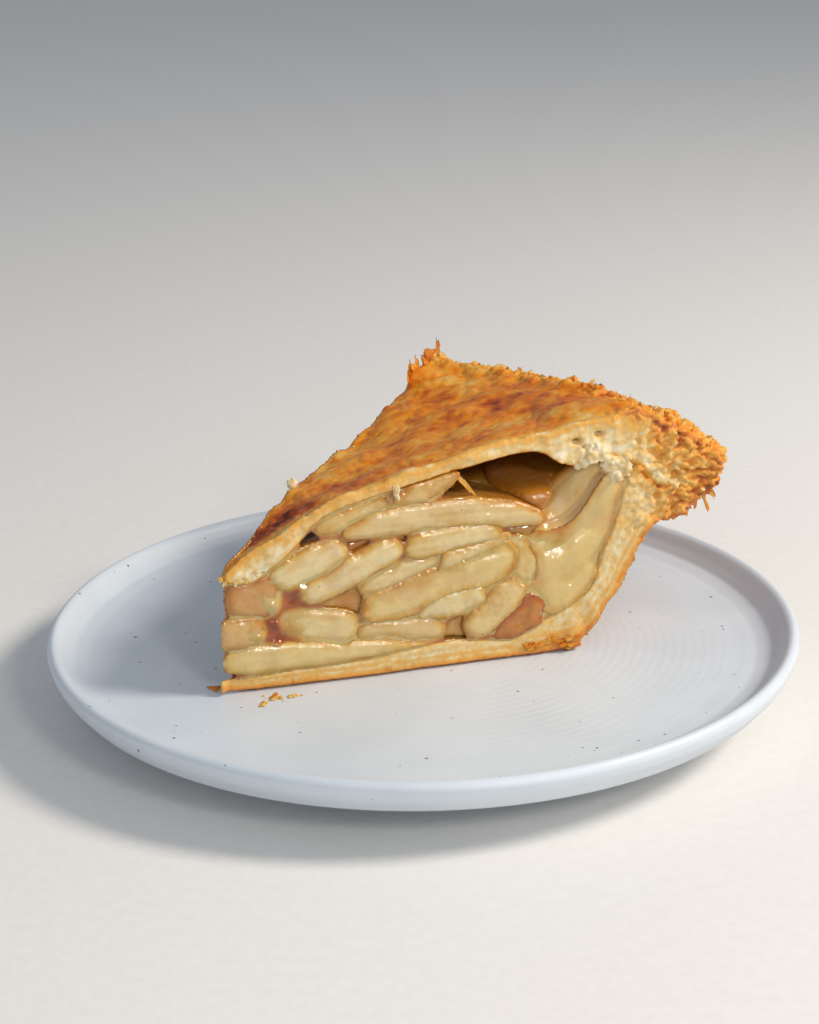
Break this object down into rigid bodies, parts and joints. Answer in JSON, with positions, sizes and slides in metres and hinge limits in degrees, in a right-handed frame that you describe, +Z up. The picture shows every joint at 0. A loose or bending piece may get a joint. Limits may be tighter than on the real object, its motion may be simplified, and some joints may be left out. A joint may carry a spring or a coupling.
{
  "type": "slice of double-crust fruit pie on a dessert plate",
  "caption": "Wedge of deep fruit pie with a plain golden top crust and packed fruit slices at its cut faces, on a shallow speckled white stoneware plate.",
  "frame": {"origin": "centre of the plate's round outline, on the table under its foot ring", "axes": "+Z up; -Y towards the side that the near cut face looks to; the slice points towards -X"},
  "size_m": [0.2, 0.2, 0.0791],
  "materials": {
    "stoneware": "satin",
    "bottom_crust": "matte",
    "top_crust": "satin",
    "syrup": "gloss",
    "fruit": "satin"
  },
  "bodies": {
    "root": {"amber_piece": "fruit", "back_slab_high": "fruit", "back_slab_low": "fruit", "base_bar": "fruit", "base_slab": "fruit", "bottom_crust": "bottom_crust", "crust_slab_left": "fruit", "crust_slab_right": "fruit", "end_lens": "fruit", "far_fruit_01": "fruit", "far_fruit_02": "fruit", "far_fruit_03": "fruit", "far_fruit_04": "fruit", "far_fruit_05": "fruit", "far_fruit_06": "fruit", "far_fruit_07": "fruit", "far_fruit_08": "fruit", "far_fruit_09": "fruit", "far_fruit_10": "fruit", "far_fruit_11": "fruit", "far_fruit_12": "fruit", "far_fruit_13": "fruit", "far_fruit_14": "fruit", "far_fruit_15": "fruit", "filling": "syrup", "left_bar": "fruit", "left_trapezoid": "fruit", "long_crescent": "fruit", "low_bar": "fruit", "mid_bar": "fruit", "plate": "stoneware", "right_strip": "fruit", "thin_bar": "fruit", "tip_lower": "fruit", "tip_upper": "fruit", "top_crust": "top_crust", "upper_bar": "fruit", "wedge_bar": "fruit", "wide_slab": "fruit"}
  },
  "joints": []
}
